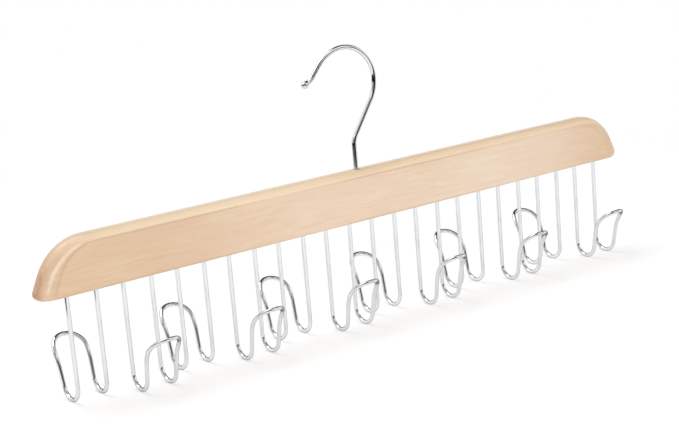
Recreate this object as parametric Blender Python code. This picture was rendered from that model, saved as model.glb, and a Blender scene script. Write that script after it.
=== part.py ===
"""Belt hanger: a wooden bar that carries twelve chromed wire belt hooks and one swivelling rod hook.

Metres, +Z up. X runs along the bar, and the front faces -Y. The origin lies on the floor under the
middle of the bar, at the height of the belt hooks' lowest point. The swivel hook turns about Z.
"""

import math

import bmesh
import bpy
from mathutils import Vector

# Gaps and cuts
touch_gap = 0.0003
cut_overrun = 0.001

# Wooden bar
bar_length = 0.400
bar_height = 0.0285
bar_thickness = 0.013
bar_underside = 0.0575
end_slope = math.radians(65)
end_radius = 0.0288
corner_radius = 0.0032

# Crown: the rounded border between the bar's silhouette and its flat faces
crown_depth = 0.0055
crown_inset_at_top = 0.0041
crown_inset_at_ends = 0.0093
crown_sweep = math.radians(70)
face_end_radius = 0.0228
face_corner_radius = 0.0012
lower_edge_radius = 0.0012
crown_steps = 8
end_steps = 9
corner_steps = 4

# Belt hooks, each bent from one wire
hook_count = 12
first_leg_from_end = 0.0172
hook_wire = 0.0022
leg_spacing = 0.0163
leg_insertion = 0.014
bend_radius = 0.00725
strand_lean = math.radians(11.3)
strand_length = 0.0273
strand_straight = 0.0094
strand_curl = math.radians(54.2)
loop_spread = 0.0008
spread_in_bend_share = 0.5
arch_rise = 0.0112
bend_steps = 12
strand_steps = 4
arch_steps = 14
hook_wire_resolution = 2
leg_hole_sides = 8

# Swivel hook, bent from one thicker wire in the plane of the bar
rod_wire = 0.0025
shank_height = 0.01323
neck_radius = 0.010
neck_bend = math.radians(34)
eye_radius = 0.020
eye_offset = 0.0029
lead_radius = 0.0215
lead_sweep = math.radians(49.5)
tip_run = 0.0075
tip_radius = 0.008
tip_bend = math.radians(24)
tip_end = 0.0029
tip_ball = 0.0040
ball_cap = math.radians(80)
neck_steps = 5
eye_steps = 14
lead_steps = 6
tip_steps = 3
ball_steps = 7
rod_wire_resolution = 4

# Swivel bearing: a bore through the bar, with a wider recess from below for the washer and the head
bore_diameter = 0.0038
recess_diameter = 0.0080
recess_depth = 0.0055
washer_thickness = 0.0008
head_diameter = 0.0050
head_height = 0.0016
head_chamfer = 0.0003
turned_steps = 24

hook_radius = hook_wire / 2
rod_radius = rod_wire / 2
bar_top = bar_underside + bar_height
recess_ceiling = bar_underside + recess_depth


def clear_scene():
    for item in list(bpy.data.objects):
        bpy.data.objects.remove(item, do_unlink=True)


def linear(channel):
    """An sRGB channel from 0 to 255 as the linear value that a shader takes."""
    share = channel / 255
    if share <= 0.04045:
        return share / 12.92
    return ((share + 0.055) / 1.055) ** 2.4


def material(name, red, green, blue, roughness, metallic):
    made = bpy.data.materials.new(name)
    made.use_nodes = True
    shader = made.node_tree.nodes["Principled BSDF"]
    shader.inputs["Base Color"].default_value = (linear(red), linear(green), linear(blue), 1)
    shader.inputs["Roughness"].default_value = roughness
    shader.inputs["Metallic"].default_value = metallic
    made.diffuse_color = (linear(red), linear(green), linear(blue), 1)
    return made


def add_object(name, data):
    made = bpy.data.objects.new(name, data)
    bpy.context.scene.collection.objects.link(made)
    return made


def add_cutter(name, mesh):
    """A helper that only cuts: it isn't rendered and isn't a piece of the hanger."""
    cutter = add_object(name, mesh)
    cutter.hide_render = True
    cutter.display_type = "WIRE"
    return cutter


def cut(target, cutter):
    modifier = target.modifiers.new(cutter.name, "BOOLEAN")
    modifier.operation = "DIFFERENCE"
    modifier.solver = "EXACT"
    modifier.object = cutter


def apply_cuts(target):
    """Bakes the cuts into the mesh, so that the edges of the holes can be marked sharp."""
    graph = bpy.context.evaluated_depsgraph_get()
    baked = bpy.data.meshes.new_from_object(target.evaluated_get(graph), depsgraph=graph)
    cutters = [modifier.object for modifier in target.modifiers]
    target.modifiers.clear()
    target.data = baked
    for cutter in cutters:
        bpy.data.objects.remove(cutter, do_unlink=True)


def shade_round(mesh, sharp_angle):
    mesh.shade_smooth()
    mesh.set_sharp_from_angle(angle=sharp_angle)


def turned_mesh(name, profile, steps, closed):
    """Spins a profile of (radius, height) points about Z. An open profile starts and ends on the axis."""
    mesh = bpy.data.meshes.new(name)
    body = bmesh.new()
    points = [body.verts.new((radius, 0, height)) for radius, height in profile]
    pairs = list(zip(points, points[1:]))
    if closed:
        pairs.append((points[-1], points[0]))
    edges = [body.edges.new(pair) for pair in pairs]
    bmesh.ops.spin(
        body,
        geom=points + edges,
        cent=(0, 0, 0),
        axis=(0, 0, 1),
        angle=math.tau,
        steps=steps,
        use_merge=True,
        use_duplicate=False,
    )
    bmesh.ops.remove_doubles(body, verts=body.verts, dist=touch_gap / 100)
    bmesh.ops.recalc_face_normals(body, faces=body.faces)
    body.to_mesh(mesh)
    body.free()
    return mesh


def wire_curve(name, points, wire_radius, resolution, radius_shares=None):
    """A round wire along the points. Radius shares, if given, swell or narrow it point by point."""
    data = bpy.data.curves.new(name, "CURVE")
    data.dimensions = "3D"
    data.bevel_depth = wire_radius
    data.bevel_resolution = resolution
    data.use_fill_caps = True
    spline = data.splines.new("POLY")
    spline.points.add(len(points) - 1)
    shares = radius_shares or [1] * len(points)
    for place, point, share in zip(spline.points, points, shares):
        place.co = (*point, 1)
        place.radius = share
    spline.use_smooth = True
    return data


# The bar


def end_outline(half_length, bottom, top, radius, corner):
    """Points (x, z) round one end: underside, corner, slope and shoulder, in that order."""
    slope_normal = Vector((math.sin(end_slope), math.cos(end_slope)))
    corner_centre = Vector((half_length - corner, bottom + corner))
    slope_reach = slope_normal.dot(corner_centre) + corner
    shoulder_height = top - radius
    shoulder_place = (slope_reach - radius - slope_normal.y * shoulder_height) / slope_normal.x
    shoulder_centre = Vector((shoulder_place, shoulder_height))
    slope_angle = math.pi / 2 - end_slope
    points = []
    for step in range(corner_steps + 1):
        angle = -math.pi / 2 + (slope_angle + math.pi / 2) * step / corner_steps
        points.append(corner_centre + corner * Vector((math.cos(angle), math.sin(angle))))
    for step in range(end_steps + 1):
        angle = slope_angle + (math.pi / 2 - slope_angle) * step / end_steps
        points.append(shoulder_centre + radius * Vector((math.cos(angle), math.sin(angle))))
    return points


def bar_ring(depth_out, crown_share):
    """The bar's closed outline at a distance from its middle plane. The share is 1 at the flat face."""
    edge_start = bar_thickness / 2 - lower_edge_radius
    into_edge = max(0, depth_out - edge_start)
    lower_lift = lower_edge_radius - math.sqrt(max(0, lower_edge_radius**2 - into_edge**2))
    right = end_outline(
        bar_length / 2 - crown_share * crown_inset_at_ends,
        bar_underside + lower_lift,
        bar_top - crown_share * crown_inset_at_top,
        end_radius + crown_share * (face_end_radius - end_radius),
        corner_radius + crown_share * (face_corner_radius - corner_radius),
    )
    left = [Vector((-point.x, point.y)) for point in reversed(right)]
    return right + left


def bar_sections():
    """(y, crown share) from the back face to the front face, along an elliptical quarter on each side."""
    half = bar_thickness / 2
    quarter = []
    for step in range(crown_steps + 1):
        angle = crown_sweep * step / crown_steps
        depth_out = half - crown_depth + crown_depth * math.sin(angle) / math.sin(crown_sweep)
        share = (1 - math.cos(angle)) / (1 - math.cos(crown_sweep))
        quarter.append((depth_out, share))
    back = [(depth_out, share) for depth_out, share in reversed(quarter)]
    front = [(-depth_out, share) for depth_out, share in quarter]
    return back + front


def bar_mesh():
    mesh = bpy.data.meshes.new("wooden_bar")
    body = bmesh.new()
    rings = []
    for y, share in bar_sections():
        outline = bar_ring(abs(y), share)
        rings.append([body.verts.new((point.x, y, point.y)) for point in outline])
    for ring, following in zip(rings, rings[1:]):
        for place in range(len(ring)):
            beside = (place + 1) % len(ring)
            body.faces.new((ring[place], ring[beside], following[beside], following[place]))
    body.faces.new(rings[0])
    body.faces.new(reversed(rings[-1]))
    bmesh.ops.recalc_face_normals(body, faces=body.faces)
    body.to_mesh(mesh)
    body.free()
    return mesh


def hook_places():
    """The middle of each belt hook along the bar, spread evenly from the left end to the right."""
    last = bar_length / 2 - first_leg_from_end - leg_spacing / 2
    return [last * (2 * number / (hook_count - 1) - 1) for number in range(hook_count)]


def leg_holes_mesh():
    """Blind holes for all the belt hooks' legs, each round its leg with the touching gap."""
    mesh = bpy.data.meshes.new("leg_holes")
    body = bmesh.new()
    hole_radius = (hook_radius + touch_gap) / math.cos(math.pi / leg_hole_sides)
    hole_top = bar_underside + leg_insertion + touch_gap
    hole_bottom = bar_underside - cut_overrun
    for hook_place in hook_places():
        for side in (-1, 1):
            place = hook_place + side * leg_spacing / 2
            made = bmesh.ops.create_cone(
                body,
                cap_ends=True,
                segments=leg_hole_sides,
                radius1=hole_radius,
                radius2=hole_radius,
                depth=hole_top - hole_bottom,
            )
            middle = (place, 0, (hole_top + hole_bottom) / 2)
            bmesh.ops.translate(body, verts=made["verts"], vec=middle)
    body.to_mesh(mesh)
    body.free()
    return mesh


def swivel_bore_mesh():
    profile = [
        (0, bar_underside - cut_overrun),
        (recess_diameter / 2, bar_underside - cut_overrun),
        (recess_diameter / 2, recess_ceiling),
        (bore_diameter / 2, recess_ceiling),
        (bore_diameter / 2, bar_top + cut_overrun),
        (0, bar_top + cut_overrun),
    ]
    return turned_mesh("swivel_bore", profile, turned_steps, closed=False)


def make_bar(wood):
    bar = add_object("wooden_bar", bar_mesh())
    bar.data.materials.append(wood)
    cut(bar, add_cutter("leg_holes", leg_holes_mesh()))
    cut(bar, add_cutter("swivel_bore", swivel_bore_mesh()))
    apply_cuts(bar)
    shade_round(bar.data, crown_sweep / crown_steps + math.radians(1))
    return bar


# The belt hooks


def strand_point(along):
    """(y, z) on the raised strand at a length from the U-bend's end: straight first, then curling out."""
    straight = min(along, strand_straight)
    curved = along - straight
    curved_length = strand_length - strand_straight
    curl_radius = curved_length / strand_curl
    heading = strand_lean + curved / curl_radius
    y = bend_radius * (1 + math.cos(strand_lean)) + straight * math.sin(strand_lean)
    z = hook_radius + bend_radius * (1 - math.sin(strand_lean)) + straight * math.cos(strand_lean)
    y += curl_radius * (math.cos(strand_lean) - math.cos(heading))
    z += curl_radius * (math.sin(heading) - math.sin(strand_lean))
    return y, z


def belt_hook_points():
    """The wire's centreline: down a leg, round the U-bend, up the raised strand, over the arch and back."""
    half_spacing = leg_spacing / 2
    bend_height = hook_radius + bend_radius
    bend_spread = loop_spread * spread_in_bend_share
    arch_base = strand_length - arch_rise
    half_arch = half_spacing + loop_spread
    side = [
        (half_spacing, 0, bar_underside + leg_insertion),
        (half_spacing, 0, bend_height),
    ]
    for step in range(1, bend_steps + 1):
        share = step / bend_steps
        angle = (math.pi - strand_lean) * share
        y = bend_radius * (1 - math.cos(angle))
        z = bend_height - bend_radius * math.sin(angle)
        side.append((half_spacing + bend_spread * share, y, z))
    for step in range(1, strand_steps + 1):
        share = step / strand_steps
        x = half_spacing + bend_spread + (loop_spread - bend_spread) * share
        side.append((x, *strand_point(arch_base * share)))
    arch = []
    for step in range(1, arch_steps):
        angle = math.pi * step / arch_steps
        along = arch_base + arch_rise * math.sin(angle)
        arch.append((half_arch * math.cos(angle), *strand_point(along)))
    other_side = [(-x, y, z) for x, y, z in reversed(side)]
    return side + arch + other_side


def make_belt_hooks(chrome):
    """Twelve like hooks. The loops face backward and forward by turns, which takes half a turn about Z."""
    wire = wire_curve("belt_hook", belt_hook_points(), hook_radius, hook_wire_resolution)
    wire.materials.append(chrome)
    for number, place in enumerate(hook_places(), start=1):
        hook = add_object(f"belt_hook_{number:02d}", wire)
        hook.location = (place, 0, 0)
        faces_front = number % 2 == 0
        hook.rotation_euler = (0, 0, math.pi if faces_front else 0)


# The swivel hook


def heading_vector(heading):
    """The direction in the X-Z plane at an angle from straight up, positive toward +X."""
    return Vector((math.sin(heading), 0, math.cos(heading)))


def bend_onward(points, heading, radius, turn, steps):
    """Adds an arc to the path. A positive turn bends toward +X from straight up. Returns the new heading."""
    start = points[-1]
    side = Vector((math.cos(heading), 0, -math.sin(heading))) * math.copysign(1, turn)
    centre = start + radius * side
    for step in range(1, steps + 1):
        angle = turn * step / steps
        turned_side = Vector((math.cos(heading + angle), 0, -math.sin(heading + angle)))
        points.append(centre - radius * turned_side * math.copysign(1, turn))
    return heading + turn


def swivel_points():
    """The rod hook's centreline and radius shares, from the head under the washer to the ball at the tip."""
    washer_lowest = recess_ceiling - touch_gap - washer_thickness
    head_top = washer_lowest - touch_gap
    head_bottom = head_top - head_height
    neck_side = neck_radius * (1 - math.cos(neck_bend))
    run = (eye_radius * math.cos(neck_bend) - eye_offset - neck_side) / math.sin(neck_bend)

    head_share = head_diameter / rod_wire
    chamfered_share = (head_diameter - 2 * head_chamfer) / rod_wire
    points = [
        Vector((0, 0, head_bottom)),
        Vector((0, 0, head_bottom + head_chamfer)),
        Vector((0, 0, head_top - head_chamfer)),
        Vector((0, 0, head_top)),
        Vector((0, 0, bar_top + shank_height)),
    ]
    shares = [chamfered_share, head_share, head_share, 1, 1]

    heading = bend_onward(points, 0, neck_radius, neck_bend, neck_steps)
    points.append(points[-1] + run * heading_vector(heading))
    heading = bend_onward(points, heading, eye_radius, -(math.pi / 2 + neck_bend), eye_steps)
    heading = bend_onward(points, heading, lead_radius, -lead_sweep, lead_steps)
    points.append(points[-1] + tip_run * heading_vector(heading))
    heading = bend_onward(points, heading, tip_radius, tip_bend, tip_steps)
    shares += [1] * (len(points) - len(shares))

    ball_centre = points[-1] + tip_end * heading_vector(heading)
    ball_radius = tip_ball / 2
    neck_angle = -math.acos(rod_radius / ball_radius)
    for step in range(ball_steps + 1):
        angle = neck_angle + (ball_cap - neck_angle) * step / ball_steps
        points.append(ball_centre + ball_radius * math.sin(angle) * heading_vector(heading))
        shares.append(ball_radius * math.cos(angle) / rod_radius)
    return points, shares


def make_swivel_hook(chrome):
    """The hook's origin is on its turning axis, where the shank leaves the top of the bar."""
    joint_place = Vector((0, 0, bar_top))
    points, shares = swivel_points()
    from_joint = [point - joint_place for point in points]
    wire = wire_curve("swivel_hook", from_joint, rod_radius, rod_wire_resolution, shares)
    wire.materials.append(chrome)
    hook = add_object("swivel_hook", wire)
    hook.location = joint_place


def make_washer(steel):
    inner = rod_radius + touch_gap
    outer = recess_diameter / 2 - touch_gap
    upper = recess_ceiling - touch_gap
    lower = upper - washer_thickness
    profile = [(inner, lower), (outer, lower), (outer, upper), (inner, upper)]
    mesh = turned_mesh("retaining_washer", profile, turned_steps, closed=True)
    washer = add_object("retaining_washer", mesh)
    washer.data.materials.append(steel)
    shade_round(washer.data, math.radians(30))


def main():
    clear_scene()
    wood = material("lacquered_wood", 229, 203, 172, roughness=0.4, metallic=0)
    chrome = material("chrome", 226, 228, 232, roughness=0.08, metallic=1)
    steel = material("zinc_plated_steel", 190, 192, 196, roughness=0.35, metallic=1)
    make_bar(wood)
    make_belt_hooks(chrome)
    make_swivel_hook(chrome)
    make_washer(steel)


main()
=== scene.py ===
"""Looks of the belt hanger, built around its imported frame.

Metres, +Z up, in the frame's own axes: X runs along the bar, the front faces -Y and the floor is at
zero. Every solid of the frame is stood for by a finer mesh of the same shape and size. The bar is
lacquered pale wood with its grain along X, and the wires are chromed.
"""

import math

import bmesh
import bpy
from mathutils import Matrix, Quaternion, Vector


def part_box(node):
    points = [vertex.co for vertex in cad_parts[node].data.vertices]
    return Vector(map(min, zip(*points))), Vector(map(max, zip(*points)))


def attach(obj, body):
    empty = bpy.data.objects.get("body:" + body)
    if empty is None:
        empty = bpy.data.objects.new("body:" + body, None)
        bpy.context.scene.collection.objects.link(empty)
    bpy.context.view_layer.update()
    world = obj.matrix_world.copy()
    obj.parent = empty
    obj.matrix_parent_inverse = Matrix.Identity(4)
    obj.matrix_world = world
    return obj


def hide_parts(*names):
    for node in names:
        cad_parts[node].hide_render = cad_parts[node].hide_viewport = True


# Camera
camera_place = Vector((-0.5205, -0.6992, 0.2642))
camera_azimuth = math.radians(-35.910)
camera_elevation = math.radians(13.388)
camera_roll = math.radians(-4.787)
camera_lens = 85.59
sensor_width = 36
camera_clip_start = 0.01

# Wooden bar. Its length, height and thickness come from the frame.
end_slope = math.radians(65)
end_radius = 0.0288
corner_radius = 0.0032
crown_depth = 0.0055
crown_inset_at_top = 0.0041
crown_inset_at_ends = 0.0093
crown_sweep = math.radians(70)
face_end_radius = 0.0228
face_corner_radius = 0.0012
lower_edge_radius = 0.0012
crown_steps = 20
end_steps = 36
corner_steps = 8
hole_chamfer = 0.00025
leg_hole_gap = 0.00015
bar_crisp_angle = math.radians(5.5)

# Gaps and cuts
touch_gap = 0.0003
cut_overrun = 0.001
merge_distance = 0.000003

# Belt hooks
hook_wire = 0.0022
leg_spacing = 0.0163
leg_insertion = 0.014
bend_radius = 0.00725
strand_lean = math.radians(11.3)
strand_length = 0.0273
strand_straight = 0.0094
strand_curl = math.radians(54.2)
loop_spread = 0.0008
spread_in_bend_share = 0.5
arch_rise = 0.0112
leg_steps = 6
bend_steps = 30
strand_steps = 12
arch_steps = 40
wire_sides = 20
wire_crisp_angle = math.radians(50)

# Swivel hook
rod_wire = 0.0025
shank_height = 0.01323
neck_radius = 0.010
neck_bend = math.radians(34)
eye_radius = 0.020
eye_offset = 0.0029
lead_radius = 0.0215
lead_sweep = math.radians(49.5)
tip_run = 0.0075
tip_radius = 0.008
tip_bend = math.radians(24)
tip_end = 0.0029
tip_ball = 0.0040
ball_cap = math.radians(87)
neck_steps = 16
eye_steps = 60
lead_steps = 24
tip_steps = 8
ball_steps = 16

# Swivel bearing
bore_diameter = 0.0038
recess_diameter = 0.0080
recess_depth = 0.0055
washer_thickness = 0.0008
washer_edge_radius = 0.0002
head_diameter = 0.0050
head_height = 0.0016
head_chamfer = 0.0003
turned_steps = 48
washer_crisp_angle = math.radians(30)

hook_radius = hook_wire / 2
rod_radius = rod_wire / 2


# Meshes


def add_piece(name, body, finish, crisp_angle=None):
    """Turns a bmesh into a smooth-shaded object. Edges above the angle stay crisp."""
    mesh = bpy.data.meshes.new(name)
    bmesh.ops.recalc_face_normals(body, faces=body.faces)
    body.to_mesh(mesh)
    body.free()
    mesh.shade_smooth()
    if crisp_angle is not None:
        mesh.set_sharp_from_angle(angle=crisp_angle)
    if finish:
        mesh.materials.append(finish)
    piece = bpy.data.objects.new(name, mesh)
    bpy.context.scene.collection.objects.link(piece)
    return piece


def stand_for(piece, node, body):
    """Hides a node and puts the piece that stands for it on a body."""
    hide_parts(node)
    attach(piece, body)


def turned_body(profile, steps, closed):
    """Spins (radius, height) points about Z. An open profile starts and ends on the axis."""
    body = bmesh.new()
    points = [body.verts.new((radius, 0, height)) for radius, height in profile]
    pairs = list(zip(points, points[1:]))
    if closed:
        pairs.append((points[-1], points[0]))
    edges = [body.edges.new(pair) for pair in pairs]
    bmesh.ops.spin(
        body,
        geom=points + edges,
        cent=(0, 0, 0),
        axis=(0, 0, 1),
        angle=math.tau,
        steps=steps,
        use_merge=True,
        use_duplicate=False,
    )
    bmesh.ops.remove_doubles(body, verts=body.verts, dist=merge_distance)
    return body


def wire_body(points, radii, sides):
    """A round wire swept along points without twist, closed by a cap at each end."""
    body = bmesh.new()
    tangents = []
    for place in range(len(points)):
        before = points[max(place - 1, 0)]
        after = points[min(place + 1, len(points) - 1)]
        tangents.append((after - before).normalized())
    side = tangents[0].orthogonal().normalized()
    rings = []
    for place, (point, tangent, radius) in enumerate(zip(points, tangents, radii)):
        if place:
            turn = tangents[place - 1].rotation_difference(tangent)
            side = (turn @ side).normalized()
        across = tangent.cross(side)
        ring = []
        for number in range(sides):
            angle = math.tau * number / sides
            out = math.cos(angle) * side + math.sin(angle) * across
            ring.append(body.verts.new(point + radius * out))
        rings.append(ring)
    for ring, following in zip(rings, rings[1:]):
        for number in range(sides):
            beside = (number + 1) % sides
            body.faces.new((ring[number], ring[beside], following[beside], following[number]))
    body.faces.new(rings[0])
    body.faces.new(rings[-1])
    return body


def straight_run(start, end, steps):
    """Points after the start, up to the end."""
    return [start.lerp(end, step / steps) for step in range(1, steps + 1)]


# The bar


def end_outline(half_length, bottom, top, radius, corner):
    """Points (x, z) round one end: underside, corner, slope and shoulder, in that order."""
    slope_normal = Vector((math.sin(end_slope), math.cos(end_slope)))
    corner_centre = Vector((half_length - corner, bottom + corner))
    slope_reach = slope_normal.dot(corner_centre) + corner
    shoulder_height = top - radius
    shoulder_place = (slope_reach - radius - slope_normal.y * shoulder_height) / slope_normal.x
    shoulder_centre = Vector((shoulder_place, shoulder_height))
    slope_angle = math.pi / 2 - end_slope
    points = []
    for step in range(corner_steps + 1):
        angle = -math.pi / 2 + (slope_angle + math.pi / 2) * step / corner_steps
        points.append(corner_centre + corner * Vector((math.cos(angle), math.sin(angle))))
    for step in range(end_steps + 1):
        angle = slope_angle + (math.pi / 2 - slope_angle) * step / end_steps
        points.append(shoulder_centre + radius * Vector((math.cos(angle), math.sin(angle))))
    return points


def bar_ring(low, high, depth_out, crown_share):
    """The bar's closed outline at a distance from its middle plane. The share is 1 at the flat face."""
    into_edge = max(0, depth_out - (high.y - lower_edge_radius))
    lower_lift = lower_edge_radius - math.sqrt(max(0, lower_edge_radius**2 - into_edge**2))
    right = end_outline(
        high.x - crown_share * crown_inset_at_ends,
        low.z + lower_lift,
        high.z - crown_share * crown_inset_at_top,
        end_radius + crown_share * (face_end_radius - end_radius),
        corner_radius + crown_share * (face_corner_radius - corner_radius),
    )
    left = [Vector((-point.x, point.y)) for point in reversed(right)]
    return right + left


def bar_sections(half_thickness):
    """(y, crown share) from the back face to the front face, an elliptical quarter on each side."""
    quarter = []
    for step in range(crown_steps + 1):
        angle = crown_sweep * step / crown_steps
        rise = math.sin(angle) / math.sin(crown_sweep)
        depth_out = half_thickness - crown_depth + crown_depth * rise
        share = (1 - math.cos(angle)) / (1 - math.cos(crown_sweep))
        quarter.append((depth_out, share))
    back = [(depth_out, share) for depth_out, share in reversed(quarter)]
    front = [(-depth_out, share) for depth_out, share in quarter]
    return back + front


def bar_body(low, high):
    body = bmesh.new()
    rings = []
    for y, share in bar_sections(high.y):
        outline = bar_ring(low, high, abs(y), share)
        rings.append([body.verts.new((point.x, y, point.y)) for point in outline])
    for ring, following in zip(rings, rings[1:]):
        for place in range(len(ring)):
            beside = (place + 1) % len(ring)
            body.faces.new((ring[place], ring[beside], following[beside], following[place]))
    body.faces.new(rings[0])
    body.faces.new(reversed(rings[-1]))
    return body


def hole_cutter(name, profile, places):
    """Turned cutters of one profile, one at each place along the bar."""
    whole = bmesh.new()
    for place in places:
        one = turned_body(profile, turned_steps, closed=False)
        bmesh.ops.translate(one, verts=one.verts, vec=(place, 0, 0))
        mesh = bpy.data.meshes.new(name)
        one.to_mesh(mesh)
        one.free()
        whole.from_mesh(mesh)
        bpy.data.meshes.remove(mesh)
    return add_piece(name, whole, None)


def cut_and_bake(target, cutters):
    for cutter in cutters:
        modifier = target.modifiers.new(cutter.name, "BOOLEAN")
        modifier.operation = "DIFFERENCE"
        modifier.solver = "EXACT"
        modifier.object = cutter
    graph = bpy.context.evaluated_depsgraph_get()
    baked = bpy.data.meshes.new_from_object(target.evaluated_get(graph), depsgraph=graph)
    target.modifiers.clear()
    target.data = baked
    for cutter in cutters:
        bpy.data.objects.remove(cutter, do_unlink=True)


def make_bar(hook_places, wood):
    """The crowned bar with its blind leg holes, the swivel bore and the recess, all chamfered."""
    low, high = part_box("wooden_bar")
    bar = add_piece("lacquered_bar", bar_body(low, high), wood)
    leg_places = [place + side * leg_spacing / 2 for place in hook_places for side in (-1, 1)]
    hole_radius = hook_radius + leg_hole_gap
    below = low.z - cut_overrun
    leg_profile = [
        (0, below),
        (hole_radius + hole_chamfer + cut_overrun, below),
        (hole_radius, low.z + hole_chamfer),
        (hole_radius, low.z + leg_insertion + touch_gap),
        (0, low.z + leg_insertion + touch_gap),
    ]
    recess_radius = recess_diameter / 2
    bore_radius = bore_diameter / 2
    above = high.z + cut_overrun
    bore_profile = [
        (0, below),
        (recess_radius + hole_chamfer + cut_overrun, below),
        (recess_radius, low.z + hole_chamfer),
        (recess_radius, low.z + recess_depth),
        (bore_radius, low.z + recess_depth),
        (bore_radius, high.z - hole_chamfer),
        (bore_radius + hole_chamfer + cut_overrun, above),
        (0, above),
    ]
    cutters = [
        hole_cutter("leg_hole_cutter", leg_profile, leg_places),
        hole_cutter("bore_cutter", bore_profile, [0]),
    ]
    cut_and_bake(bar, cutters)
    bar.data.shade_smooth()
    bar.data.set_sharp_from_angle(angle=bar_crisp_angle)
    stand_for(bar, "wooden_bar", "bar")
    return bar


# The belt hooks


def strand_point(along):
    """(y, z) on the raised strand at a length from the U-bend: straight, then curling out."""
    straight = min(along, strand_straight)
    curved = along - straight
    curl_radius = (strand_length - strand_straight) / strand_curl
    heading = strand_lean + curved / curl_radius
    y = bend_radius * (1 + math.cos(strand_lean)) + straight * math.sin(strand_lean)
    z = hook_radius + bend_radius * (1 - math.sin(strand_lean)) + straight * math.cos(strand_lean)
    y += curl_radius * (math.cos(strand_lean) - math.cos(heading))
    z += curl_radius * (math.sin(heading) - math.sin(strand_lean))
    return y, z


def belt_hook_points(underside):
    """The wire's centreline: down a leg, round the U-bend, up the strand, over the arch and back."""
    half_spacing = leg_spacing / 2
    bend_height = hook_radius + bend_radius
    bend_spread = loop_spread * spread_in_bend_share
    arch_base = strand_length - arch_rise
    half_arch = half_spacing + loop_spread
    leg_top = Vector((half_spacing, 0, underside + leg_insertion))
    leg_foot = Vector((half_spacing, 0, bend_height))
    side = [leg_top, *straight_run(leg_top, leg_foot, leg_steps)]
    for step in range(1, bend_steps + 1):
        share = step / bend_steps
        angle = (math.pi - strand_lean) * share
        y = bend_radius * (1 - math.cos(angle))
        z = bend_height - bend_radius * math.sin(angle)
        side.append(Vector((half_spacing + bend_spread * share, y, z)))
    for step in range(1, strand_steps + 1):
        share = step / strand_steps
        x = half_spacing + bend_spread + (loop_spread - bend_spread) * share
        side.append(Vector((x, *strand_point(arch_base * share))))
    arch = []
    for step in range(1, arch_steps):
        angle = math.pi * step / arch_steps
        along = arch_base + arch_rise * math.sin(angle)
        arch.append(Vector((half_arch * math.cos(angle), *strand_point(along))))
    other_side = [Vector((-point.x, point.y, point.z)) for point in reversed(side)]
    return side + arch + other_side


def belt_hook_nodes():
    return sorted(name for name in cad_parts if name.startswith("belt_hook_"))


def make_belt_hooks(chrome):
    """One round wire for each belt hook of the frame, at its place and facing its way."""
    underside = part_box("wooden_bar")[0].z
    points = belt_hook_points(underside)
    for node in belt_hook_nodes():
        low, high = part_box(node)
        middle = (low + high) / 2
        facing = Matrix.Rotation(math.pi if middle.y < 0 else 0, 4, "Z")
        placed = Matrix.Translation((middle.x, 0, low.z)) @ facing
        placed_points = [placed @ point for point in points]
        body = wire_body(placed_points, [hook_radius] * len(points), wire_sides)
        hook = add_piece(node.replace("belt_hook", "belt_wire"), body, chrome, wire_crisp_angle)
        stand_for(hook, node, "bar")


# The swivel hook


def heading_vector(heading):
    """The direction in the X-Z plane at an angle from straight up, positive toward +X."""
    return Vector((math.sin(heading), 0, math.cos(heading)))


def right_of(heading):
    """The direction square to a heading, on its right."""
    return Vector((math.cos(heading), 0, -math.sin(heading)))


def bend_onward(points, heading, radius, turn, steps):
    """Adds an arc to the path, to the right for a positive turn, and returns the new heading."""
    reach = math.copysign(radius, turn)
    centre = points[-1] + reach * right_of(heading)
    for step in range(1, steps + 1):
        points.append(centre - reach * right_of(heading + turn * step / steps))
    return heading + turn


def swivel_path(recess_ceiling, bar_top):
    """The rod hook's centreline and radii, from the upset head to the ball at the tip."""
    head_top = recess_ceiling - washer_thickness - 2 * touch_gap
    head_bottom = head_top - head_height
    neck_side = neck_radius * (1 - math.cos(neck_bend))
    run = (eye_radius * math.cos(neck_bend) - eye_offset - neck_side) / math.sin(neck_bend)
    head_radius = head_diameter / 2
    points = [
        Vector((0, 0, head_bottom)),
        Vector((0, 0, head_bottom + head_chamfer)),
        Vector((0, 0, head_top - head_chamfer)),
        Vector((0, 0, head_top)),
    ]
    radii = [head_radius - head_chamfer, head_radius, head_radius, rod_radius]
    points += straight_run(points[-1], Vector((0, 0, bar_top + shank_height)), leg_steps)

    heading = bend_onward(points, 0, neck_radius, neck_bend, neck_steps)
    points += straight_run(points[-1], points[-1] + run * heading_vector(heading), leg_steps)
    heading = bend_onward(points, heading, eye_radius, -(math.pi / 2 + neck_bend), eye_steps)
    heading = bend_onward(points, heading, lead_radius, -lead_sweep, lead_steps)
    points += straight_run(points[-1], points[-1] + tip_run * heading_vector(heading), leg_steps)
    heading = bend_onward(points, heading, tip_radius, tip_bend, tip_steps)
    radii += [rod_radius] * (len(points) - len(radii))

    ball_centre = points[-1] + tip_end * heading_vector(heading)
    ball_radius = tip_ball / 2
    neck_angle = -math.acos(rod_radius / ball_radius)
    for step in range(ball_steps + 1):
        angle = neck_angle + (ball_cap - neck_angle) * step / ball_steps
        points.append(ball_centre + ball_radius * math.sin(angle) * heading_vector(heading))
        radii.append(ball_radius * math.cos(angle))
    return points, radii


def make_swivel_hook(chrome):
    low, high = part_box("wooden_bar")
    points, radii = swivel_path(low.z + recess_depth, high.z)
    body = wire_body(points, radii, wire_sides)
    hook = add_piece("rod_hook_wire", body, chrome, wire_crisp_angle)
    stand_for(hook, "swivel_hook", "rod_hook")


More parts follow.
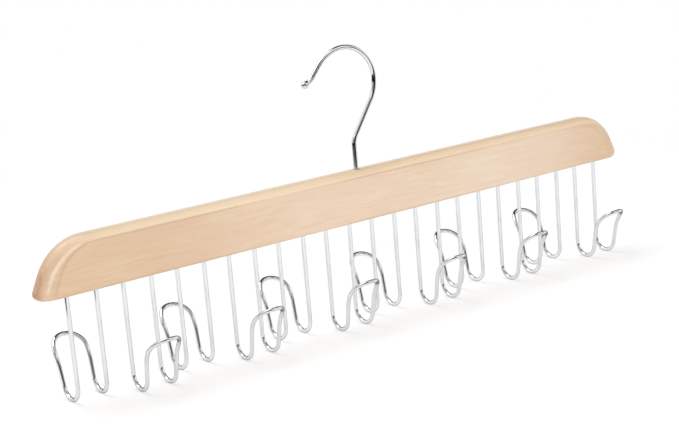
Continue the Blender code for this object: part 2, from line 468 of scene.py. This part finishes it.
def make_washer(steel):
    inner = rod_radius + touch_gap
    outer = recess_diameter / 2 - touch_gap
    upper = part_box("wooden_bar")[0].z + recess_depth - touch_gap
    lower = upper - washer_thickness
    edge = washer_edge_radius
    profile = [
        (inner, lower + edge),
        (inner + edge, lower),
        (outer - edge, lower),
        (outer, lower + edge),
        (outer, upper - edge),
        (outer - edge, upper),
        (inner + edge, upper),
        (inner, upper - edge),
    ]
    body = turned_body(profile, turned_steps, closed=True)
    washer = add_piece("flat_washer", body, steel, washer_crisp_angle)
    stand_for(washer, "retaining_washer", "bar")


# Shader nodes


def linear(channel):
    """An sRGB channel from 0 to 255 as the linear value that a shader takes."""
    share = channel / 255
    if share <= 0.04045:
        return share / 12.92
    return ((share + 0.055) / 1.055) ** 2.4


def colour(red, green, blue):
    return (linear(red), linear(green), linear(blue), 1)


class Nodes:
    """A material's or world's node tree, with short calls that add nodes and return their outputs."""

    def __init__(self, owner):
        owner.use_nodes = True
        self.tree = owner.node_tree
        self.tree.nodes.clear()

    def add(self, kind, inputs=None, **settings):
        node = self.tree.nodes.new(kind)
        for name, value in settings.items():
            setattr(node, name, value)
        for name, value in (inputs or {}).items():
            self.feed(node.inputs[name], value)
        return node

    def feed(self, socket, value):
        if isinstance(value, bpy.types.NodeSocket):
            self.tree.links.new(value, socket)
        else:
            socket.default_value = value

    def position(self):
        """The place in the object's own metres."""
        return self.add("ShaderNodeTexCoord").outputs["Object"]

    def light_path(self):
        return self.add("ShaderNodeLightPath").outputs

    def components(self, vector):
        return list(self.add("ShaderNodeSeparateXYZ", {0: vector}).outputs)

    def vector_math(self, operation, vector, other=(0, 0, 0), output="Vector"):
        node = self.add("ShaderNodeVectorMath", {0: vector, 1: other}, operation=operation)
        return node.outputs[output]

    def math(self, operation, first, second=0.0):
        return self.add("ShaderNodeMath", {0: first, 1: second}, operation=operation).outputs[0]

    def sum(self, first, *others):
        for other in others:
            first = self.math("ADD", first, other)
        return first

    def product(self, first, *others):
        for other in others:
            first = self.math("MULTIPLY", first, other)
        return first

    def absolute(self, value):
        return self.math("ABSOLUTE", value)

    def away_from(self, value, middle):
        return self.absolute(self.math("SUBTRACT", value, middle))

    def rest_of(self, share):
        return self.math("SUBTRACT", 1.0, share)

    def between(self, value, span, to=(0.0, 1.0)):
        """A smooth step from one level to the other while the value crosses the span."""
        inputs = {
            "Value": value,
            "From Min": span[0],
            "From Max": span[1],
            "To Min": to[0],
            "To Max": to[1],
        }
        return self.add("ShaderNodeMapRange", inputs, interpolation_type="SMOOTHSTEP").outputs["Result"]

    def noise(self, place, scales, detail=2.0, roughness=0.5, distortion=0.0):
        """Noise from 0 to 1. The scales are its cells per metre along X, Y and Z."""
        inputs = {
            "Vector": self.vector_math("MULTIPLY", place, scales),
            "Scale": 1.0,
            "Detail": detail,
            "Roughness": roughness,
            "Distortion": distortion,
        }
        return self.add("ShaderNodeTexNoise", inputs).outputs["Fac"]

    def mix(self, share, first, second, blend="MIX"):
        made = self.add("ShaderNodeMix", data_type="RGBA", blend_type=blend)
        self.feed(made.inputs["Factor"], share)
        colours = [socket for socket in made.inputs if socket.type == "RGBA"]
        self.feed(colours[0], first)
        self.feed(colours[1], second)
        return [socket for socket in made.outputs if socket.type == "RGBA"][0]

    def bump(self, height, strength, distance):
        inputs = {"Height": height, "Strength": strength, "Distance": distance}
        return self.add("ShaderNodeBump", inputs).outputs["Normal"]

    def glow(self, strength):
        """White light that the surface gives off by itself."""
        return self.add("ShaderNodeEmission", {"Color": (1, 1, 1, 1), "Strength": strength}).outputs[0]

    def mix_shader(self, share, first, second):
        return self.add("ShaderNodeMixShader", {0: share, 1: first, 2: second}).outputs[0]

    def principled(self, inputs):
        """Ends a material with one shader of these inputs."""
        shader = self.add("ShaderNodeBsdfPrincipled", inputs)
        self.add("ShaderNodeOutputMaterial", {"Surface": shader.outputs["BSDF"]})


# Wood. A span is where a colour comes in, and its shares are how much of it there is at either end.

pale_wood = colour(240, 219, 193)
deep_wood = colour(225, 195, 163)
blush_wood = colour(233, 202, 178)
fleck_brown = colour(196, 156, 116)
end_tint = colour(241, 230, 216)
end_grain_pale = colour(218, 173, 139)
end_grain_deep = colour(204, 150, 110)
patch_cream = colour(243, 226, 210)
# The crown's own gold, which also paints top light where the crown faces up.
crown_gold_top_light = colour(253, 226, 191)
crown_orange = colour(236, 194, 150)
# A paler cream for the upward crown left of the middle.
pale_crown_cream = colour(255, 237, 208)
# Painted shade: the brown of the line along the crown's crease.
crease_shade_brown = colour(196, 158, 118)

wander_scales = (6, 60, 60)
streak_scales = (40, 480, 480)
fibre_scales = (70, 2600, 2600)
cloud_scales = (16, 60, 60)
fleck_scales = (150, 1700, 1700)
pore_scales = (420, 420, 130)
band_scales = (18, 330, 330)

across_grain = (0, 1, 1)
pith_offset = (0, 0.034, 0.026)
pith_tilt = (0, math.radians(1.2), math.radians(2.0))
ring_phase_per_metre = 2100
ring_wander = 90
ring_span = (-1, 1)
ring_shares = (0, 0.08)
grain_span = (0.25, 0.75)
streak_shares = (0.04, 0.62)
fibre_shares = (0, 0.16)
cloud_span = (0.35, 0.70)
blush_shares = (0, 0.6)
fleck_span = (0.68, 0.80)
fleck_shares = (0, 0.22)

palest_place = 0.03
end_tint_span = (0.05, 0.18)
end_tint_shares = (0, 0.85)
end_facing_span = (0.42, 0.84)
end_grain_shares = (0, 0.85)
pore_span = (0.38, 0.66)
patch_place = 0.115
patch_span = (0.02, 0.07)
patch_shares = (0.28, 0)

flat_facing_span = (0.96, 0.999)
upward_span = (0.30, 0.60)
# How much gold the upward crown takes, partly painted top light.
crown_gold_top_light_share = 0.42
band_span = (0.42, 0.62)
band_shares = (0, 0.28)
# Where the crown turns paler left of the middle, fading out toward the left end.
pale_crown_left_span = (-0.185, -0.145)
pale_crown_right_span = (-0.06, 0)
pale_crown_shares = (0.34, 0)

# Where the painted shade line at the crease shows, and how it fades along the bar.
crease_shade_span = (0.0060, 0.0065)
crease_shade_fade_span = (0.05, 0.12)
crease_shade_shares = (0.60, 0.22)
faint_crease_shade_place = -0.045
faint_crease_shade_span = (0.015, 0.045)
faint_crease_shade_shares = (0.35, 1)

wood_roughness_span = (0.2, 0.8)
wood_roughness = (0.42, 0.52)
grain_relief = 0.0002
grain_relief_strength = 0.05
lacquer_weight = 0.5
lacquer_roughness = 0.11
lacquer_ior = 1.5


def growth_rings(nodes, place):
    """A wave across the rings round a pith that lies below the bar and in front of it."""
    wander = nodes.noise(place, wander_scales, detail=3)
    from_pith = nodes.add(
        "ShaderNodeMapping", {"Vector": place, "Location": pith_offset, "Rotation": pith_tilt}
    )
    across = nodes.vector_math("MULTIPLY", from_pith.outputs["Vector"], across_grain)
    distance = nodes.vector_math("LENGTH", across, output="Value")
    phase = nodes.sum(
        nodes.product(distance, ring_phase_per_metre), nodes.product(wander, ring_wander)
    )
    return nodes.math("SINE", phase)


def grained_wood(nodes, place, along, streaks, fibres):
    """Rings, streaks and fibres, blushed in clouds and deeper toward the ends, with a few flecks."""
    tone = nodes.sum(
        nodes.between(growth_rings(nodes, place), ring_span, ring_shares),
        nodes.between(streaks, grain_span, streak_shares),
        nodes.between(fibres, grain_span, fibre_shares),
    )
    blush = nodes.between(nodes.noise(place, cloud_scales, detail=2), cloud_span, blush_shares)
    toward_ends = nodes.between(nodes.away_from(along, palest_place), end_tint_span, end_tint_shares)
    flecks = nodes.between(nodes.noise(place, fleck_scales, detail=1), fleck_span, fleck_shares)
    wood = nodes.mix(tone, pale_wood, deep_wood)
    wood = nodes.mix(blush, wood, blush_wood)
    wood = nodes.mix(toward_ends, wood, end_tint, "MULTIPLY")
    return nodes.mix(flecks, wood, fleck_brown)


def with_end_grain(nodes, wood, place, facing_along):
    """Darker, blotched end grain where the surface faces along the bar."""
    pores = nodes.noise(place, pore_scales, detail=3, roughness=0.6)
    end_wood = nodes.mix(nodes.between(pores, pore_span), end_grain_pale, end_grain_deep)
    shown = nodes.between(nodes.absolute(facing_along), end_facing_span, end_grain_shares)
    return nodes.mix(shown, wood, end_wood)


def with_crown(nodes, wood, place, along, on_crown):
    """A golden crown, partly its own colour and partly painted top light where it faces up, with orange
    bands, and a paler cream left of the middle.
    """
    bands = nodes.noise(place, band_scales, detail=4, roughness=0.55, distortion=0.4)
    band_share = nodes.product(on_crown, nodes.between(bands, band_span, band_shares))
    # The upward crown turns paler left of the middle.
    pale_crown = nodes.product(
        on_crown,
        nodes.between(along, pale_crown_right_span, pale_crown_shares),
        nodes.between(along, pale_crown_left_span),
    )
    # Gold on the upward crown: partly its own colour, partly painted top light.
    wood = nodes.mix(nodes.product(on_crown, crown_gold_top_light_share), wood, crown_gold_top_light)
    wood = nodes.mix(band_share, wood, crown_orange)
    return nodes.mix(pale_crown, wood, pale_crown_cream)


def with_crease_shade(nodes, wood, along, out, off_face):
    """A painted brown line of shade where the crown leaves the flat face, fainter in places."""
    line = nodes.product(nodes.between(nodes.absolute(out), crease_shade_span), off_face)
    fade = nodes.between(along, crease_shade_fade_span, crease_shade_shares)
    from_faint = nodes.away_from(along, faint_crease_shade_place)
    faint = nodes.between(from_faint, faint_crease_shade_span, faint_crease_shade_shares)
    return nodes.mix(nodes.product(line, fade, faint), wood, crease_shade_brown)


def wood_colour(nodes, place, streaks, fibres):
    """The grained wood, with end grain, a pale patch on the faces, the crown with its partly painted
    top light, and a painted shade line at its crease.
    """
    along, out, _ = nodes.components(place)
    normal = nodes.add("ShaderNodeTexCoord").outputs["Normal"]
    facing_along, facing_out, facing_up = nodes.components(normal)
    off_face = nodes.between(nodes.absolute(facing_out), flat_facing_span, (1, 0))
    on_crown = nodes.product(off_face, nodes.between(facing_up, upward_span))
    patch = nodes.between(nodes.away_from(along, patch_place), patch_span, patch_shares)

    wood = grained_wood(nodes, place, along, streaks, fibres)
    wood = with_end_grain(nodes, wood, place, facing_along)
    wood = nodes.mix(nodes.product(patch, nodes.rest_of(on_crown)), wood, patch_cream)
    wood = with_crown(nodes, wood, place, along, on_crown)
    # Painted shade along the crease.
    return with_crease_shade(nodes, wood, along, out, off_face)


def wood_material():
    """Pale close-grained wood with its grain along X, under clear satin lacquer."""
    made = bpy.data.materials.new("lacquered_pale_wood")
    nodes = Nodes(made)
    place = nodes.position()
    streaks = nodes.noise(place, streak_scales, detail=4, roughness=0.6, distortion=0.5)
    fibres = nodes.noise(place, fibre_scales, detail=2)
    nodes.principled(
        {
            "Base Color": wood_colour(nodes, place, streaks, fibres),
            "Roughness": nodes.between(streaks, wood_roughness_span, wood_roughness),
            "Normal": nodes.bump(nodes.sum(streaks, fibres), grain_relief_strength, grain_relief),
            "Coat Weight": lacquer_weight,
            "Coat Roughness": lacquer_roughness,
            "Coat IOR": lacquer_ior,
        }
    )
    return made


# Metals

chrome_bright = colour(241, 242, 244)
chrome_hazed = colour(234, 236, 240)
# A dark edge tint that paints shade along the wire's edges.
chrome_edge_shade = (0.2, 0.2, 0.22, 1)
haze_scales = (160, 160, 90)
haze_colour_span = (0.3, 0.7)
haze_roughness_span = (0.3, 0.75)
chrome_roughness = (0.025, 0.06)
wave_scales = (240, 240, 240)
wave_height = 0.0002
wave_strength = 0.05

zinc_light = colour(198, 200, 202)
zinc_dark = colour(176, 178, 184)
blotch_scales = (1800, 1800, 1800)
blotch_span = (0.3, 0.7)
zinc_roughness = (0.28, 0.42)
zinc_relief = 0.00005
zinc_relief_strength = 0.2


def chrome_material():
    """Bright chrome plating over drawn wire, with a faint haze of handling, slight waviness and painted
    shade along its edges.
    """
    made = bpy.data.materials.new("chrome_plated_wire")
    nodes = Nodes(made)
    place = nodes.position()
    haze = nodes.noise(place, haze_scales, detail=3)
    waves = nodes.noise(place, wave_scales, detail=1)
    nodes.principled(
        {
            "Base Color": nodes.mix(nodes.between(haze, haze_colour_span), chrome_bright, chrome_hazed),
            "Metallic": 1.0,
            # Painted shade: the dark edge tint darkens the wire's edges.
            "Specular Tint": chrome_edge_shade,
            "Roughness": nodes.between(haze, haze_roughness_span, chrome_roughness),
            "Normal": nodes.bump(waves, wave_strength, wave_height),
        }
    )
    return made


def steel_material():
    """Dull zinc plating with fine blotches."""
    made = bpy.data.materials.new("zinc_plated_washer")
    nodes = Nodes(made)
    blotches = nodes.noise(nodes.position(), blotch_scales, detail=3)
    nodes.principled(
        {
            "Base Color": nodes.mix(blotches, zinc_light, zinc_dark),
            "Metallic": 1.0,
            "Roughness": nodes.between(blotches, blotch_span, zinc_roughness),
            "Normal": nodes.bump(blotches, zinc_relief_strength, zinc_relief),
        }
    )
    return made


# Studio


def aim(azimuth, elevation):
    """A unit direction. Azimuth 0 is the front, 90 degrees the right."""
    level = math.cos(elevation)
    return Vector((math.sin(azimuth) * level, -math.cos(azimuth) * level, math.sin(elevation)))


class DarkCard:
    """A round dark card, in degrees: full within the inner angle and gone at the outer one."""

    def __init__(self, azimuth, elevation, inner, outer, level):
        self.middle = aim(math.radians(azimuth), math.radians(elevation))
        self.inner = math.radians(inner)
        self.outer = math.radians(outer)
        self.level = level

    def share(self, nodes, direction):
        toward = nodes.vector_math("DOT_PRODUCT", direction, self.middle, output="Value")
        return nodes.between(toward, (math.cos(self.outer), math.cos(self.inner)))


front_card = DarkCard(azimuth=12, elevation=0, inner=30, outer=46, level=0.02)
upper_left_card = DarkCard(azimuth=-36, elevation=55, inner=17, outer=27, level=0.04)
right_card = DarkCard(azimuth=118, elevation=56, inner=30, outer=44, level=0.05)

dim_room = aim(math.radians(-40), 0)
dim_room_span = (0.15, 0.40)
dim_room_top_span = (0.25, 0.58)
dim_room_level = 0.22

floor_half_side = 6
table_edge_span = (0.37, 0.45)
table_left_span = (-0.362, -0.338)
table_left_level = 0.06
table_white = (0.86, 0.86, 0.86, 1)
table_glow = 0.12
table_glow_to_camera = 0.21
table_glow_in_metal = 0.10
plain_white_span = (0.25, 0.6)
plain_white_glow = 1.0
studio_fill = 0.40


def toward_dim_room(nodes, direction):
    toward = nodes.vector_math("DOT_PRODUCT", direction, dim_room, output="Value")
    return nodes.between(toward, dim_room_span)


def dimmed(nodes, light, share, level):
    """The light, brought down to a level of itself where the share is 1."""
    return nodes.product(light, nodes.rest_of(nodes.product(share, 1 - level)))


def table_in_metal(nodes, position, distance):
    """How bright metal sees the table: dim past its edge at the room and the card, dark at its left."""
    outward = nodes.vector_math("NORMALIZE", position)
    along, _, _ = nodes.components(position)
    beyond = nodes.between(distance, table_edge_span)
    room = nodes.product(beyond, toward_dim_room(nodes, outward))
    card = nodes.product(beyond, front_card.share(nodes, outward))
    left_end = nodes.between(along, table_left_span, (1, 0))
    mirrored = dimmed(nodes, 1.0, room, dim_room_level)
    mirrored = dimmed(nodes, mirrored, card, front_card.level)
    return dimmed(nodes, mirrored, left_end, table_left_level)


def floor_material():
    """A white table that keeps the shadow and fades to plain white, and that metal sees partly dark."""
    made = bpy.data.materials.new("white_table")
    nodes = Nodes(made)
    path = nodes.light_path()
    position = nodes.position()
    distance = nodes.vector_math("LENGTH", position, output="Value")
    lost = nodes.rest_of(table_in_metal(nodes, position, distance))
    kept = nodes.rest_of(nodes.product(path["Is Glossy Ray"], lost))
    lift = nodes.sum(
        nodes.product(path["Is Camera Ray"], table_glow_to_camera),
        nodes.product(path["Is Glossy Ray"], table_glow_in_metal),
        table_glow,
    )
    white = nodes.add("ShaderNodeBsdfDiffuse", {"Color": table_white}).outputs[0]
    lit = nodes.add("ShaderNodeAddShader", {0: white, 1: nodes.glow(lift)}).outputs[0]
    table = nodes.mix_shader(kept, nodes.glow(0.0), lit)
    far_out = nodes.product(path["Is Camera Ray"], nodes.between(distance, plain_white_span))
    surface = nodes.mix_shader(far_out, table, nodes.glow(plain_white_glow))
    nodes.add("ShaderNodeOutputMaterial", {"Surface": surface})
    return made


def make_floor():
    body = bmesh.new()
    bmesh.ops.create_grid(body, x_segments=1, y_segments=1, size=floor_half_side)
    floor = add_piece("floor", body, floor_material())
    return floor


def make_world():
    """White to the camera. Metal sees a white studio with a dim room at the left and dark cards."""
    world = bpy.data.worlds.new("studio")
    bpy.context.scene.world = world
    nodes = Nodes(world)
    path = nodes.light_path()
    direction = nodes.add("ShaderNodeTexCoord").outputs["Generated"]
    _, _, height = nodes.components(direction)
    below_room_top = nodes.between(height, dim_room_top_span, (1, 0))
    room = nodes.product(toward_dim_room(nodes, direction), below_room_top)
    mirrored = dimmed(nodes, 1.0, room, dim_room_level)
    for card in (front_card, upper_left_card, right_card):
        mirrored = dimmed(nodes, mirrored, card.share(nodes, direction), card.level)
    strength = nodes.sum(
        nodes.product(path["Is Diffuse Ray"], studio_fill),
        nodes.product(path["Is Glossy Ray"], mirrored),
        nodes.math("MAXIMUM", path["Is Camera Ray"], path["Is Transmission Ray"]),
    )
    background = nodes.add("ShaderNodeBackground", {"Color": (1, 1, 1, 1), "Strength": strength})
    nodes.add("ShaderNodeOutputWorld", {"Surface": background.outputs[0]})


def add_softbox(name, azimuth, elevation, distance, width, height, power, lean=0):
    """A soft light that faces the middle of the bar. Angles are in degrees, and its top leans right."""
    middle = Vector((0, 0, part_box("wooden_bar")[0].z))
    away = aim(math.radians(azimuth), math.radians(elevation))
    data = bpy.data.lights.new(name, "AREA")
    data.shape = "RECTANGLE"
    data.size = width
    data.size_y = height
    data.energy = power
    lamp = bpy.data.objects.new(name, data)
    lamp.location = middle + distance * away
    lamp.rotation_mode = "QUATERNION"
    upright = away.to_track_quat("Z", "Y")
    lamp.rotation_quaternion = upright @ Quaternion((0, 0, 1), -math.radians(lean))
    bpy.context.scene.collection.objects.link(lamp)
    return lamp


def flag_off(lamp, lit_pieces):
    """Keeps a lamp's light off everything but some pieces."""
    lit = bpy.data.collections.new(lamp.name + "_lit")
    for piece in lit_pieces:
        lit.objects.link(piece)
    lamp.light_linking.receiver_collection = lit


def make_lights(bar, floor):
    """A large light above and behind, a soft one at the front right, and a strip for the lacquer."""
    add_softbox(
        "top_box", azimuth=-152, elevation=70, distance=1.6, width=1.1, height=1.0, power=10.4
    )
    add_softbox("key_box", azimuth=24, elevation=25, distance=1.1, width=0.7, height=0.6, power=1.0)
    strip = add_softbox(
        "strip_box",
        azimuth=-11,
        elevation=18,
        distance=1.5,
        width=0.34,
        height=1.13,
        power=8.8,
        lean=35,
    )
    flag_off(strip, [bar, floor])


def make_camera():
    """The photograph's viewing angle, as a direction, a roll about it and a place."""
    back = aim(camera_azimuth, camera_elevation)
    level_right = Vector((0, 0, 1)).cross(back).normalized()
    level_up = back.cross(level_right)
    right = math.cos(camera_roll) * level_right + math.sin(camera_roll) * level_up
    up = back.cross(right)
    turn = Matrix((right, up, back)).transposed()
    data = bpy.data.cameras.new("camera")
    data.sensor_width = sensor_width
    data.lens = camera_lens
    data.clip_start = camera_clip_start
    camera = bpy.data.objects.new("camera", data)
    camera.matrix_world = Matrix.Translation(camera_place) @ turn.to_4x4()
    bpy.context.scene.collection.objects.link(camera)
    bpy.context.scene.camera = camera


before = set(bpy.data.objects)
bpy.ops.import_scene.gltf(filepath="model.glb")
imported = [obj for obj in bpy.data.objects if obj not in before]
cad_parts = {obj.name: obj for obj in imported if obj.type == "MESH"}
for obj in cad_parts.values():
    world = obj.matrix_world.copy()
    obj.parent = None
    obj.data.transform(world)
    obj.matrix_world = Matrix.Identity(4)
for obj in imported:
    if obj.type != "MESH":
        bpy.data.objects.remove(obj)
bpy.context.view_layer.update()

wood = wood_material()
chrome = chrome_material()
steel = steel_material()
hook_places = [(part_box(node)[0].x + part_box(node)[1].x) / 2 for node in belt_hook_nodes()]
bar = make_bar(hook_places, wood)
make_belt_hooks(chrome)
make_swivel_hook(chrome)
make_washer(steel)

floor = make_floor()
make_world()
make_lights(bar, floor)
make_camera()
bpy.context.scene.view_settings.view_transform = "Standard"
